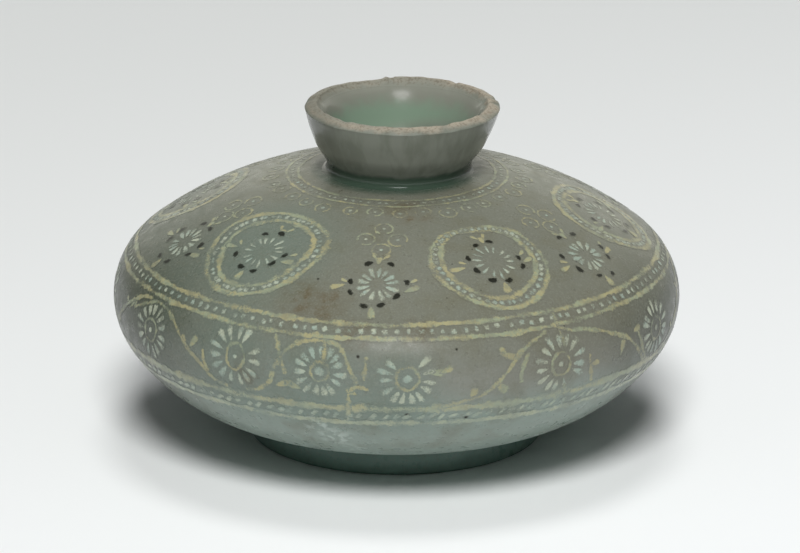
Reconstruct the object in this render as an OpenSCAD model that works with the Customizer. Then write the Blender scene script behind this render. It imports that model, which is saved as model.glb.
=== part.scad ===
// Celadon oil bottle with inlaid decoration.
// A flattened stoneware body is thrown as two halves and luted together, then gets a foot ring
// and a small funnel mouth. The lines and rings of pale clay lie in grooves cut in the leather-hard
// wall. The small stamped marks of white and black clay lie on the wall as thin fills.
// Origin: middle of the foot's bearing face, +Z up, azimuth 0 towards -Y.

/* [Body] */
// Radius at the widest line of the belly
body_r = 45; // [40:0.5:52]
// Radius of the tight curve above the belly line
shoulder_turn_r = 11.2; // [9:0.1:14]
// Angle through which that curve turns before the dome starts
shoulder_turn = 53; // [48:1:57]
// Radius of the long curve of the dome
dome_r = 58; // [50:0.5:70]
// Radius of the tight curve below the belly line
under_turn_r = 12; // [10:0.1:15]
// Angle through which that curve turns before the underside starts
under_turn = 33; // [28:1:38]
// Radius of the long curve of the underside
under_r = 26.5; // [23:0.5:30]
// Thickness of the thrown wall
wall = 4; // [3:0.1:5.5]
// Distance along the wall from the lowest inlaid line to the seam of the two halves
seam_margin = 1.5; // [1:0.1:3]

/* [Neck and mouth] */
// Outer radius of the neck at its narrowest
neck_root_r = 11.45; // [10.5:0.05:13]
// Height of the lip above the dome at the neck
neck_h = 11; // [8:0.1:13]
// Radius of the concave joint between neck and dome
neck_fillet = 1.3; // [0.8:0.1:1.6]
// Outer radius of the neck where its flare straightens
knee_r = 13.35; // [12.9:0.05:14]
// Height of that place above the dome
knee_h = 4.4; // [3.6:0.1:5.4]
// Outer radius of the lip
mouth_r = 15.4; // [15:0.1:17]
// Width of the lip
lip_w = 2; // [1.6:0.1:2.6]
// Drop of the lip from its crest to its outer edge
lip_drop = 0.9; // [0.5:0.1:1.4]
// Radius of the straight throat
throat_r = 6; // [5:0.1:7]
// Thickness of the cup's floor over the dome, at the throat
cup_floor = 0.5; // [0.3:0.1:1.2]
// Steepness of the cup's inner wall, 1 is a cone
cup_curve = 2.2; // [1.6:0.1:3]
// Width of the spigot that keys the neck into the dome
spigot_w = 2.4; // [1.8:0.1:3]

/* [Foot] */
// Height of the underside above the ground
foot_h = 4.2; // [3:0.1:6]
// Outer radius of the bearing face
foot_r = 23.5; // [22:0.1:26]
// Width of the bearing face
foot_w = 3.2; // [2.6:0.1:4.5]
// Inward lean of the foot's outer face over its height
foot_lean = 0.5; // [0:0.1:1]
// Radius of each quartz spur mark on the bearing face
spur_r = 0.8; // [0.5:0.1:1.1]

/* [Inlay] */
// Depth of the grooves cut for the inlaid lines and rings
inlay_depth = 0.5; // [0.3:0.05:0.9]
// Height by which the filled lines and rings stand above the wall
inlay_proud = 0.03; // [0.01:0.01:0.08]
// Gap all round between a filled line and its groove
inlay_fit = 0.02; // [0.01:0.01:0.05]
// Thickness of the stamped marks that lie on the wall
mark_h = 0.12; // [0.06:0.01:0.3]
// Width of the incised band lines
line_w = 0.7; // [0.5:0.05:1]
// Radius of the stamped beads
bead_r = 0.5; // [0.35:0.05:0.6]
// Radius of the small dots in the collar and the cloud scroll
dot_r = 0.4; // [0.25:0.05:0.5]
// Arc length from the belly line up to the lower line of the shoulder band
shoulder_band_s = 6.7; // [6.2:0.1:7.5]
// Distance between the two lines of the shoulder band
shoulder_band_w = 2.4; // [2.2:0.1:2.8]
// Arc length from the belly line down to the upper line of the base band
base_band_s = 4.9; // [4.6:0.1:5.6]
// Distance between the two lines of the base band
base_band_w = 2.6; // [2.2:0.1:3]
// Beads in the shoulder band, and again in the base band
band_beads = 100; // [72:1:110]
// Distance of the collar's inner line from the axis
collar_r = 15.6; // [15.2:0.1:16.5]
// Distance between the two lines of the collar
collar_w = 1.9; // [1.7:0.1:2.2]
// Dots in the collar
collar_dots = 44; // [30:1:48]

/* [Cloud scroll] */
// Distance of the row of cloud curls from the axis
cloud_r = 19.7; // [19.6:0.1:20.3]
// Curls in the row
cloud_count = 32; // [24:1:34]
// Gap between a free flower's upper sprig and the curls of its pendant
pendant_gap = 0.4; // [0.3:0.05:0.8]
// Radius of each curl
curl_r = 1.25; // [1:0.05:1.4]
// Width of the cut of a curl
curl_w = 0.4; // [0.3:0.05:0.5]

/* [Roundels and flowers] */
// Roundels on the dome, with as many free flowers between them
motif_count = 6; // [5:1:6]
// Azimuth of the first roundel
roundel_az = -37; // [-60:1:60]
// Azimuth from a roundel to the next free flower
flower_step = 31; // [28:1:33]
// Arc length from the belly line up to the middle of the roundels
roundel_s = 19.5; // [19.2:0.1:20]
// Radius of the roundels' inner ring
roundel_r = 7.1; // [6.9:0.1:7.6]
// Distance between the two rings of a roundel
roundel_band = 1.65; // [1.55:0.05:2]
// Beads round each roundel
roundel_bead_n = 30; // [20:1:32]
// Arc length from the belly line up to the middle of the free flowers
flower_s = 16.8; // [16.6:0.1:18]
// Petals of each flower
petal_count = 14; // [10:1:16]
// Distance of the petals' outer ends from the flower's middle
petal_out = 3.7; // [3.4:0.1:4]
// Distance of the petals' inner ends from the flower's middle
petal_in = 1.7; // [1.5:0.1:2]
// Width of a petal at its broad end
petal_w = 0.8; // [0.5:0.05:0.9]
// Length of a leaf
leaf_l = 1.3; // [1:0.1:1.5]
// Width of a leaf
leaf_w = 0.8; // [0.5:0.05:1]
// Length of the sprigs that stand out between the black leaves
sprig_l = 1.7; // [1.2:0.1:2]

/* [Frieze] */
// Distance of the frieze petals' outer ends from the flower's middle
frieze_out = 4.6; // [4.2:0.1:4.8]
// Distance of the frieze petals' inner ends from the flower's middle
frieze_in = 2.5; // [2.4:0.1:2.8]
// Radius of the ring in the middle of a frieze flower
frieze_ring_r = 1.7; // [1.4:0.1:1.8]
// Width of the vine
vine_w = 0.6; // [0.4:0.05:0.7]
// Rise of the vine above and below the middle of the frieze
vine_rise = 4.3; // [3.6:0.1:4.6]

/* [Hidden] */
$fn = 72;
deg = 180 / PI;
celadon = "#7f8a7b";
white_slip = "#d6dac6";
buff_slip = "#cdc59a";
black_slip = "#22251f";
quartz = "#e4e0d6";

// Azimuths of the frieze flowers, hand-spaced on the front as the decorator left them
frieze_az = [-60, -33, -15, 2, 34, 64, 92, 118, 144, 170, 196, 222, 248, 274];
frieze_n = len(frieze_az);

// Centres of the four arcs of the wall, as [distance from the axis, height]
belly_z = foot_h + under_r - (under_r - under_turn_r) * sin(under_turn);
shoulder_c = [body_r - shoulder_turn_r, belly_z];
dome_c = shoulder_c - (dome_r - shoulder_turn_r) * [cos(shoulder_turn), sin(shoulder_turn)];
under_turn_c = [body_r - under_turn_r, belly_z];
under_c = under_turn_c - (under_r - under_turn_r) * [cos(under_turn), -sin(under_turn)];

// Places along the wall are arc lengths from the belly line, positive upwards
shoulder_s = shoulder_turn_r * shoulder_turn / deg;
under_s = -under_turn_r * under_turn / deg;
floor_s = under_s - under_r * (90 - under_turn) / deg;
base_low_s = -base_band_s - base_band_w;
seam_s = base_low_s - line_w / 2 - seam_margin;
frieze_s = (shoulder_band_s - base_band_s) / 2;

// The dome runs to just inside the hole that takes the neck
hole_r = throat_r + spigot_w + inlay_fit;
dome_end_s = dome_s(hole_r - 1);

// The arcs as [centre, radius, lowest s, highest s, angle of the normal at the lowest s]
arcs = [
    [under_c, under_r, floor_s, under_s, -90],
    [under_turn_c, under_turn_r, under_s, 0, -under_turn],
    [shoulder_c, shoulder_turn_r, 0, shoulder_s, 0],
    [dome_c, dome_r, shoulder_s, dome_end_s, shoulder_turn]
];
function arc_angle(arc, s) = arc[4] + (s - arc[2]) / arc[1] * deg;
function arc_at(s) = [for (arc = arcs) if (s >= arc[2] && s <= arc[3]) arc][0];
function normal_angle(s) = arc_angle(arc_at(s), s);
function wall_point(s) = arc_point(arc_at(s), s, 0);
function dome_s(r) = shoulder_s + dome_r * (acos((r - dome_c.x) / dome_r) - shoulder_turn) / deg;
function dome_z(r) = dome_c.y + sqrt(pow(dome_r, 2) - pow(r - dome_c.x, 2));

neck_z = dome_z(neck_root_r);
lip_z = neck_z + neck_h;
cup_z = dome_z(throat_r) + cup_floor;

// Points along the wall from s0 to s1, off from its surface, at most facet_turn degrees apart
facet_turn = 3;
function arc_point(arc, s, off) =
    arc[0] + (arc[1] + off) * [cos(arc_angle(arc, s)), sin(arc_angle(arc, s))];
function arc_line(arc, lo, hi, off) =
    let (n = ceil((hi - lo) / arc[1] * deg / facet_turn))
    [for (k = [0:1:n - 1]) arc_point(arc, lo + (hi - lo) * k / n, off)];
function wall_line(s0, s1, off) = concat(
    [for (arc = arcs) each arc_line(arc, max(s0, arc[2]), min(s1, arc[3]), off)],
    [arc_point(arc_at(s1), s1, off)]
);
function reversed(list) = [for (i = [len(list) - 1:-1:0]) list[i]];

// Section of a layer that follows the wall from s0 to s1, between two offsets from its surface
module layer_2d(s0, s1, inner, outer) {
    polygon(concat(wall_line(s0, s1, outer), reversed(wall_line(s0, s1, inner))));
}

// Stands its children on the wall: X along the band, Y up the wall, Z outwards
module on_wall(az, s) {
    rotate([0, 0, az]) translate([0, -wall_point(s).x, wall_point(s).y])
        rotate([90 - normal_angle(s), 0, 0]) children();
}
// The same for a place that lies x and y away along the wall
module near_wall(az, s, x, y) {
    on_wall(az + x / wall_point(s + y).x * deg, s + y) children();
}
// Count places on a circle of radius r along the wall, each with Y pointing away from its middle
module ring_on_wall(az, s, count, r, start = 0) {
    for (i = [0:count - 1]) {
        turn = start + 360 * i / count;
        near_wall(az, s, r * sin(turn), r * cos(turn)) rotate(-turn) children();
    }
}

// A filled line: cut = true gives its groove, false its filling
cut_top = 1.2;
function grow(cut) = cut ? inlay_fit : 0;
function top(cut) = cut ? cut_top : inlay_proud;
module line(s, cut) {
    half = line_w / 2 + grow(cut);
    rotate_extrude() layer_2d(s - half, s + half, -inlay_depth - grow(cut), top(cut));
}
// Rings round the roundels, cut square to the wall, with tops that follow it
ring_sag = dome_r - sqrt(pow(dome_r, 2) - pow(roundel_r + roundel_band, 2));
module roundel_ring(r, cut) {
    depth = inlay_depth + ring_sag + grow(cut);
    for (i = [0:motif_count - 1])
        on_wall(roundel_at(i), roundel_s) translate([0, 0, -depth]) linear_extrude(depth + cut_top)
            ring_2d(r, line_w + 2 * grow(cut));
}
module ring_2d(r, w) {
    difference() {
        circle(r + w / 2);
        circle(r - w / 2);
    }
}
module filled_ring(r) {
    intersection() {
        roundel_ring(r, false);
        rotate_extrude($fn = 360) layer_2d(shoulder_band_s, dome_end_s, -wall / 2, inlay_proud);
    }
}

// Stamped marks, flat on the wall
module dots(s, count, r) {
    for (i = [0:count - 1])
        on_wall(360 * i / count, s) dot(r);
}
module dot(r) {
    cylinder(r = r, h = mark_h, $fn = 24);
}
module petal(l) {
    linear_extrude(mark_h) polygon([
        [-petal_w / 6, -l / 2], [petal_w / 6, -l / 2], [petal_w / 2, l / 2 - petal_w / 2],
        [petal_w / 5, l / 2], [-petal_w / 5, l / 2], [-petal_w / 2, l / 2 - petal_w / 2]
    ]);
}
module leaf() {
    linear_extrude(mark_h) polygon([
        [-leaf_l / 2, -leaf_w / 3], [-leaf_l / 6, -leaf_w / 2], [leaf_l / 2, -leaf_w / 3],
        [leaf_l / 3, leaf_w / 3], [0, leaf_w / 2], [-leaf_l / 3, leaf_w / 3]
    ]);
}
module sprig() {
    linear_extrude(mark_h) polygon([
        [-sprig_l / 9, -sprig_l / 2], [sprig_l / 9, -sprig_l / 2], [sprig_l / 4, sprig_l / 5],
        [0, sprig_l / 2], [-sprig_l / 4, sprig_l / 5]
    ]);
}
module curl(turn) {
    open = 30;
    reach = 2 * curl_r;
    linear_extrude(mark_h) difference() {
        ring_2d(curl_r, curl_w);
        rotate(turn + 180) polygon([[0, 0], reach * [cos(open), -sin(open)], reach * [cos(open), sin(open)]]);
    }
}

// Places of the motifs
function roundel_at(i) = roundel_az + 360 * i / motif_count;
function flower_at(i) = roundel_at(i) + flower_step;
leaf_spread = 18;
leaf_mid = petal_out + leaf_w;
sprig_mid = leaf_mid + leaf_w / 2 + sprig_l / 2;
curl_out = curl_r + curl_w / 2;
curl_step = curl_r + curl_w;
pendant_low = sprig_mid + sprig_l / 2 + pendant_gap + curl_out;
pendant_rise = 1.7 * curl_step;
// A pair of curls, with a single one above it where there is room below the cloud row
pendant_room = dome_s(cloud_r) - curl_out - pendant_gap - flower_s - pendant_low - curl_out;
pendant_pair = [[-curl_step, pendant_low], [curl_step, pendant_low]];
pendant_top = pendant_room > pendant_rise ? [[0, pendant_low + pendant_rise]] : [];
module on_pendants() {
    for (i = [0:motif_count - 1], spot = concat(pendant_pair, pendant_top))
        near_wall(flower_at(i), flower_s, spot.x, spot.y) children();
}
module petals_round(az, s, r_in, r_out) {
    ring_on_wall(az, s, petal_count, (r_in + r_out) / 2) petal(r_out - r_in);
}
module leaves_round(az, s) {
    for (side = [-1, 1])
        ring_on_wall(az, s, 4, leaf_mid, side * leaf_spread) leaf();
}
module sprigs_round(az, s) {
    ring_on_wall(az, s, 4, sprig_mid) sprig();
}

// Between two frieze flowers the vine is an S of two arcs that meet at the middle of the gap.
// It is a thin ribbon whose corners lie on the wall.
vine_steps = 10;
vine_lift = 0.02;
function gap_az(i) = (frieze_az[(i + 1) % frieze_n] - frieze_az[i] + 360) % 360;
function gap_mid(i) = frieze_az[i] + gap_az(i) / 2;
function vine_swing(i) = max(1, body_r * gap_az(i) / deg / 2 - frieze_out);
function wall_xyz(az, s, lift) =
    let (p = arc_point(arc_at(s), s, lift))
    [p.x * sin(az), -p.x * cos(az), p.y];
function vine_x(swing, y) =
    let (r = (pow(swing, 2) + pow(vine_rise, 2)) / (2 * swing))
    sign(y) * (r - sqrt(pow(r, 2) - pow(y, 2)));
function vine_corner(i, k, side, lift) =
    let (y = vine_rise * (2 * k / vine_steps - 1),
         x = vine_x(vine_swing(i), y) + side * vine_w / 2)
    wall_xyz(gap_mid(i) + x / body_r * deg, frieze_s + y, lift);
module vine(i) {
    points = [for (k = [0:vine_steps], c = [[-1, 0], [1, 0], [1, 1], [-1, 1]])
        vine_corner(i, k, c[0], vine_lift + c[1] * mark_h)];
    sides = [for (k = [0:vine_steps - 1], j = [0:3])
        let (a = 4 * k + j, b = 4 * k + (j + 1) % 4)
        each [[a, b, a + 4], [b, b + 4, a + 4]]];
    last = 4 * vine_steps;
    ends = [[0, 2, 1], [0, 3, 2], [last, last + 1, last + 2], [last, last + 2, last + 3]];
    polyhedron(points, concat(sides, ends));
}
leaf_climb = 0.6 * vine_rise;

// Sections of the thrown pieces
module lower_wall_2d() {
    layer_2d(floor_s, seam_s, -wall, 0);
    translate([0, foot_h]) square([under_c.x, wall]);
}
module foot_2d() {
    rise = foot_h + wall / 2;
    difference() {
        polygon([
            [foot_r - foot_w, 0], [foot_r, 0],
            [foot_r - foot_lean, rise], [foot_r - foot_w - foot_lean, rise]
        ]);
        lower_wall_2d();
    }
}
module neck_2d() {
    skirt_edge = 0.05;
    bend_r = dome_r + skirt_edge + neck_fillet;
    bend_a = acos((neck_root_r + neck_fillet - dome_c.x) / bend_r);
    bend_c = dome_c + bend_r * [cos(bend_a), sin(bend_a)];
    bend = [for (k = [0:8])
        let (a = bend_a + 180 - (bend_a + 30) * k / 8)
        bend_c + neck_fillet * [cos(a), sin(a)]];
    skirt_root = dome_c + (dome_r - wall / 2) * [cos(bend_a), sin(bend_a)];
    cup_r = mouth_r - lip_w;
    lip_round = lip_w / 10;
    lip = [
        [knee_r, neck_z + knee_h], [mouth_r, lip_z - lip_drop - lip_round],
        [mouth_r - lip_round, lip_z - lip_drop], [mouth_r - lip_w / 2, lip_z - lip_drop / 4],
        [cup_r + 2 * lip_round, lip_z], [cup_r, lip_z - lip_round]
    ];
    cup_h = lip_z - lip_round - cup_z;
    cup = [for (t = [0.9:-0.1:0])
        [throat_r + (cup_r - throat_r) * t, cup_z + cup_h * pow(t, cup_curve)]];
    difference() {
        polygon(concat([skirt_root], bend, lip, cup, [[throat_r, neck_z - wall / 2]]));
        translate(dome_c) circle(dome_r);
    }
    spigot_z = dome_z(hole_r) - wall;
    translate([throat_r, spigot_z]) square([spigot_w, cup_z - cup_floor / 2 - spigot_z]);
}

// Sub-parts
module lower_body() {
    color(celadon) rotate_extrude() lower_wall_2d();
}
module upper_body() {
    color(celadon) difference() {
        rotate_extrude() difference() {
            layer_2d(seam_s, dome_end_s, -wall, 0);
            square([hole_r, lip_z]);
        }
        line(dome_s(collar_r), true);
        line(dome_s(collar_r + collar_w), true);
        line(shoulder_band_s, true);
        line(shoulder_band_s + shoulder_band_w, true);
        line(-base_band_s, true);
        line(base_low_s, true);
        roundel_ring(roundel_r, true);
        roundel_ring(roundel_r + roundel_band, true);
    }
}
module foot_ring() {
    color(celadon) difference() {
        rotate_extrude() foot_2d();
        spurs(inlay_fit);
    }
}
module spurs(g) {
    for (az = [30:120:270])
        rotate([0, 0, az]) translate([foot_r - foot_w / 2, 0, inlay_proud - g])
            cylinder(r = spur_r + g, h = inlay_depth + g, $fn = 24);
}
module spur_marks() {
    color(quartz) spurs(0);
}
module neck() {
    color(celadon) rotate_extrude() neck_2d();
}
module collar_inner_line() {
    color(buff_slip) line(dome_s(collar_r), false);
}
module collar_outer_line() {
    color(buff_slip) line(dome_s(collar_r + collar_w), false);
}
module collar_beads() {
    color(white_slip) dots(dome_s(collar_r + collar_w / 2), collar_dots, dot_r);
}
module cloud_curls() {
    color(buff_slip) for (i = [0:cloud_count - 1])
        on_wall(360 * i / cloud_count, dome_s(cloud_r)) curl(90 + 180 * (i % 2));
}
module cloud_dots() {
    color(white_slip) dots(dome_s(cloud_r), cloud_count, dot_r);
}
module pendant_curls() {
    color(buff_slip) on_pendants() curl(90);
}
module pendant_dots() {
    color(white_slip) on_pendants() dot(dot_r);
}
module roundel_inner_rings() {
    color(buff_slip) filled_ring(roundel_r);
}
module roundel_outer_rings() {
    color(buff_slip) filled_ring(roundel_r + roundel_band);
}
module roundel_beads() {
    color(white_slip) for (i = [0:motif_count - 1])
        ring_on_wall(roundel_at(i), roundel_s, roundel_bead_n, roundel_r + roundel_band / 2) dot(dot_r);
}
module roundel_petals() {
    color(white_slip) for (i = [0:motif_count - 1])
        petals_round(roundel_at(i), roundel_s, petal_in, petal_out);
}
module roundel_leaves() {
    color(black_slip) for (i = [0:motif_count - 1])
        leaves_round(roundel_at(i), roundel_s);
}
module roundel_sprigs() {
    color(buff_slip) for (i = [0:motif_count - 1])
        sprigs_round(roundel_at(i), roundel_s);
}
module flower_petals() {
    color(white_slip) for (i = [0:motif_count - 1])
        petals_round(flower_at(i), flower_s, petal_in, petal_out);
}
module flower_leaves() {
    color(black_slip) for (i = [0:motif_count - 1])
        leaves_round(flower_at(i), flower_s);
}
module flower_sprigs() {
    color(buff_slip) for (i = [0:motif_count - 1])
        sprigs_round(flower_at(i), flower_s);
}
module shoulder_upper_line() {
    color(buff_slip) line(shoulder_band_s + shoulder_band_w, false);
}
module shoulder_lower_line() {
    color(buff_slip) line(shoulder_band_s, false);
}
module shoulder_beads() {
    color(white_slip) dots(shoulder_band_s + shoulder_band_w / 2, band_beads, bead_r);
}
module frieze_petals() {
    color(white_slip) for (az = frieze_az)
        petals_round(az, frieze_s, frieze_in, frieze_out);
}
module frieze_rings() {
    color(buff_slip) for (az = frieze_az)
        on_wall(az, frieze_s) linear_extrude(mark_h)
            ring_2d(frieze_ring_r, vine_w);
}
module frieze_dots() {
    color(white_slip) for (az = frieze_az)
        on_wall(az, frieze_s) dot(bead_r);
}
module frieze_vine() {
    color(buff_slip) for (i = [0:frieze_n - 1])
        vine(i);
}
module frieze_leaves() {
    color(buff_slip) for (i = [0:frieze_n - 1], side = [-1, 1]) {
        beside = vine_x(vine_swing(i), leaf_climb) - vine_w / 2 - leaf_l;
        near_wall(gap_mid(i), frieze_s, side * beside, side * leaf_climb) rotate(35) leaf();
    }
}
module base_upper_line() {
    color(buff_slip) line(-base_band_s, false);
}
module base_lower_line() {
    color(buff_slip) line(base_low_s, false);
}
module base_beads() {
    color(white_slip) dots(-base_band_s - base_band_w / 2, band_beads, bead_r);
}

lower_body();
upper_body();
foot_ring();
neck();
spur_marks();
collar_inner_line();
collar_outer_line();
collar_beads();
cloud_curls();
cloud_dots();
pendant_curls();
pendant_dots();
roundel_inner_rings();
roundel_outer_rings();
roundel_beads();
roundel_petals();
roundel_leaves();
roundel_sprigs();
flower_petals();
flower_leaves();
flower_sprigs();
shoulder_upper_line();
shoulder_lower_line();
shoulder_beads();
frieze_petals();
frieze_rings();
frieze_dots();
frieze_vine();
frieze_leaves();
base_upper_line();
base_lower_line();
base_beads();
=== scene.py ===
import math
import random

import bpy
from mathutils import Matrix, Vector


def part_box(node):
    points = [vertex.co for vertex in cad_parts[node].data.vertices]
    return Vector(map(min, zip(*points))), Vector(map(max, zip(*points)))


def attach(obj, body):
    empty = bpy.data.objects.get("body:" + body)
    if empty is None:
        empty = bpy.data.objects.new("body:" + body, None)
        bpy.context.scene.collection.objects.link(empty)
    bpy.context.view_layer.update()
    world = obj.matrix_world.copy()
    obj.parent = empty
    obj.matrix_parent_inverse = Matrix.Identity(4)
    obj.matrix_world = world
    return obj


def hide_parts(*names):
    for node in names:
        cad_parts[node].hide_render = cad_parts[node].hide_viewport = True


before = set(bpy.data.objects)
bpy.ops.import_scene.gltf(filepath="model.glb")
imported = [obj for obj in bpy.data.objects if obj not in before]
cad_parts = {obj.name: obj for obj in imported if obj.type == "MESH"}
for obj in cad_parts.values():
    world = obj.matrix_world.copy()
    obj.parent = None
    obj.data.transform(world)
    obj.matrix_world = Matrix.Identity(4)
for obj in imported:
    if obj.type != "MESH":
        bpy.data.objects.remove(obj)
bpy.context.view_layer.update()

# Lower body: the thrown bowl of the underside, with its flat floor.
# Grey stoneware under a thin grey-green glaze, luted to the upper half while leather hard.
# Sizes are in millimetres and angles in degrees. Azimuth 0 faces the viewer.
MM = 0.001
body_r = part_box("upper_body")[1].x / MM
wall = 4
foot_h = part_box("lower_body")[0].z / MM
shoulder_turn_r = 11.2
shoulder_turn = 53
dome_r = 58
under_turn_r = 12
under_turn = 33
under_r = 26.5
# The two thrown halves meet just below the base band
seam_s = -9.35
# Gaps between the points of the wall, outside and inside, and the steps of a full turn
wall_step = 0.6
inner_step = 2
rounds = 288
weld_gap = 0.002
crease = 35


def polar(radius, angle):
    """The two legs of a radius at an angle."""
    turn = math.radians(angle)
    return radius * math.cos(turn), radius * math.sin(turn)


# The wall is four arcs that run into each other, and places on it are lengths up from the belly line
shoulder_dx, shoulder_dz = polar(dome_r - shoulder_turn_r, shoulder_turn)
under_dx, under_dz = polar(under_r - under_turn_r, under_turn)
belly_z = foot_h + under_r - under_dz
shoulder_s = math.radians(shoulder_turn) * shoulder_turn_r
under_s = -math.radians(under_turn) * under_turn_r
floor_s = under_s - math.radians(90 - under_turn) * under_r
floor_r = body_r - under_turn_r - under_dx
dome_x = body_r - shoulder_turn_r - shoulder_dx
dome_z = belly_z - shoulder_dz
# Each arc: distance of its centre from the axis, height of the centre, radius, s and angle where it starts
wall_arcs = [
    (floor_r, belly_z + under_dz, under_r, floor_s, -90),
    (body_r - under_turn_r, belly_z, under_turn_r, under_s, -under_turn),
    (body_r - shoulder_turn_r, belly_z, shoulder_turn_r, 0, 0),
    (dome_x, dome_z, dome_r, shoulder_s, shoulder_turn),
]


def wall_point(s, lift=0):
    """Distance from the axis and height of the place s along the wall."""
    x, z, radius, start, angle = [arc for arc in wall_arcs if arc[3] <= s + 1e-9][-1]
    across, up = polar(radius + lift, angle + math.degrees((s - start) / radius))
    return x + across, z + up


def wall_line(low, high, step, lift=0):
    """Points along the wall, about a step apart."""
    count = math.ceil((high - low) / step)
    return [wall_point(low + (high - low) * k / count, lift) for k in range(count + 1)]


def turned(name, section):
    """A thrown piece: a ring of points laid along its section, then spun round the axis."""
    bpy.ops.object.select_all(action="DESELECT")
    bpy.ops.mesh.primitive_circle_add(vertices=len(section), radius=MM)
    piece = bpy.context.object
    piece.name = name
    for vertex, (r, z) in zip(piece.data.vertices, section):
        vertex.co = (r * MM, 0, z * MM)
    bpy.ops.object.mode_set(mode="EDIT")
    bpy.ops.mesh.select_all(action="SELECT")
    bpy.ops.mesh.spin(steps=rounds, angle=math.tau, center=(0, 0, 0), axis=(0, 0, 1))
    bpy.ops.mesh.select_all(action="SELECT")
    bpy.ops.mesh.remove_doubles(threshold=weld_gap * MM)
    bpy.ops.mesh.delete_loose()
    bpy.ops.mesh.select_all(action="SELECT")
    bpy.ops.mesh.normals_make_consistent(inside=False)
    bpy.ops.object.mode_set(mode="OBJECT")
    bpy.ops.object.shade_smooth_by_angle(angle=math.radians(crease))
    return piece


class Wire:
    """A shader socket. Expressions on it add Math nodes, and add makes any other node."""

    def __init__(self, tree, socket=None):
        self.tree = tree
        self.socket = socket

    def add(self, kind, settings=None, inputs=None, output=0):
        """Adds a node, its settings first and then the values or links of its sockets."""
        node = self.tree.nodes.new(kind)
        for name, value in (settings or {}).items():
            setattr(node, name, value)
        for name, value in (inputs or {}).items():
            if isinstance(value, Wire):
                self.tree.links.new(value.socket, node.inputs[name])
            else:
                node.inputs[name].default_value = value
        return Wire(self.tree, node.outputs[output]) if node.outputs else None

    def maths(self, operation, first, second):
        return self.add("ShaderNodeMath", {"operation": operation}, {0: first, 1: second})

    def __add__(self, other):
        return self.maths("ADD", self, other)

    def __sub__(self, other):
        return self.maths("SUBTRACT", self, other)

    def __rsub__(self, other):
        return self.maths("SUBTRACT", other, self)

    def __mul__(self, other):
        return self.maths("MULTIPLY", self, other)


def tone(code):
    """A colour from its screen code, in the linear values that sockets take."""
    parts = [int(code[k:k + 2], 16) / 255 for k in (0, 2, 4)]
    return [p / 12.92 if p < 0.04 else ((p + 0.055) / 1.055) ** 2.4 for p in parts] + [1]


def mixed(share, first, second):
    """A colour that goes from the first to the second as share goes from 0 to 1."""
    return share.add("ShaderNodeMix", {"data_type": "RGBA"}, {0: share, 6: first, 7: second}, 2)


def ease(value, low, high):
    """0 at low and 1 at high, with a soft start and end."""
    return value.add("ShaderNodeMapRange", {"interpolation_type": "SMOOTHSTEP"},
                     {"Value": value, "From Min": low, "From Max": high})


def cloud(place, size, detail=3):
    """Soft random patches about size millimetres across, near 0.5 on the whole."""
    return place.add("ShaderNodeTexNoise", {}, {"Vector": place, "Scale": 1 / size, "Detail": detail})


def on_wall(az, s, lift=0):
    """The place at an azimuth and a length along the wall, in metres."""
    r, z = wall_point(s, lift)
    out, side = polar(r, az)
    return Vector((side, -out, z)) * MM


def wall_spot(place, az, s, reach):
    """1 at a place on the wall, 0 from reach on."""
    centre = tuple(on_wall(az, s) / MM)
    gap = place.add("ShaderNodeVectorMath", {"operation": "DISTANCE"}, {0: place, 1: centre}, "Value")
    return ease(gap, reach, reach * 0.2)


def new_material(name):
    """An empty material and its Object coordinates in millimetres."""
    material = bpy.data.materials.new(name)
    material.use_nodes = True
    material.node_tree.nodes.clear()
    place = Wire(material.node_tree).add("ShaderNodeTexCoord", {}, {}, "Object")
    place = place.add("ShaderNodeVectorMath", {"operation": "SCALE"}, {0: place, "Scale": 1 / MM})
    return material, place


def along(place, axis):
    """One coordinate of a place."""
    return place.add("ShaderNodeSeparateXYZ", {}, {0: place}, axis)


def reach_of(place):
    """Distance from the axis."""
    flat = place.add("ShaderNodeVectorMath", {"operation": "MULTIPLY"}, {0: place, 1: (1, 1, 0)})
    return place.add("ShaderNodeVectorMath", {"operation": "LENGTH"}, {0: flat}, "Value")


celadon_dome = tone("6f7165")
celadon_belly = tone("7d8077")
celadon_low_and_bounce_light = tone("8a988f")
painted_bounce_light = tone("a6b5ae")
celadon_left_painted_shade = tone("50594e")
painted_edge_shade = tone("43483b")
celadon_pale = tone("8c8e83")
celadon_cool = tone("66766c")
celadon_warm = tone("6d6c5f")
celadon_olive = tone("65634f")
pool_green = tone("3a4a3e")
foot_green = tone("6c8d82")
iron_brown = tone("564527")
speck_dark = tone("24221c")
slip_smear = tone("b4c0b8")
# Brown stains of the glaze: azimuth, s and reach of each
stains = [(-22, 13, 5.5), (-17, 11.4, 4), (-13, 13, 3.4), (4, 8, 3.4),
          (6, 34, 5), (-30, 0, 4), (-8, 7.6, 4), (170, 12, 8)]
# Cooler, greener patches: azimuth, s and reach of each
cool_spots = [(-42, 20.6, 18), (-35, 0, 14), (-16, -1, 12), (0, -2, 10), (-62, 4, 14), (150, 6, 18)]
# Dark iron specks and a nick: azimuth, s and reach of each
iron_specks = [(2.2, -5.7, 0.55), (14.3, -6.8, 0.5), (-7.5, 4, 0.4),
               (-48.7, -8.1, 0.7), (12, 5, 0.3), (-20, 17, 0.3)]
# A pale splash of slip on the underside: azimuth, s and reach of each patch
splashes = [(-16.5, -9.5, 3), (-13.2, -12.7, 4), (-11, -17.5, 3)]
# Heights between which one tone of the glaze passes into the next, from the dome down to the foot. Low down
# the glaze is lightened with painted bounce light from the table.
dome_to_belly = (31, 24)
belly_to_low = (23, 16.2)
low_to_painted_bounce = (10, 6)
painted_bounce_to_foot = (4.8, 2.8)
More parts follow.
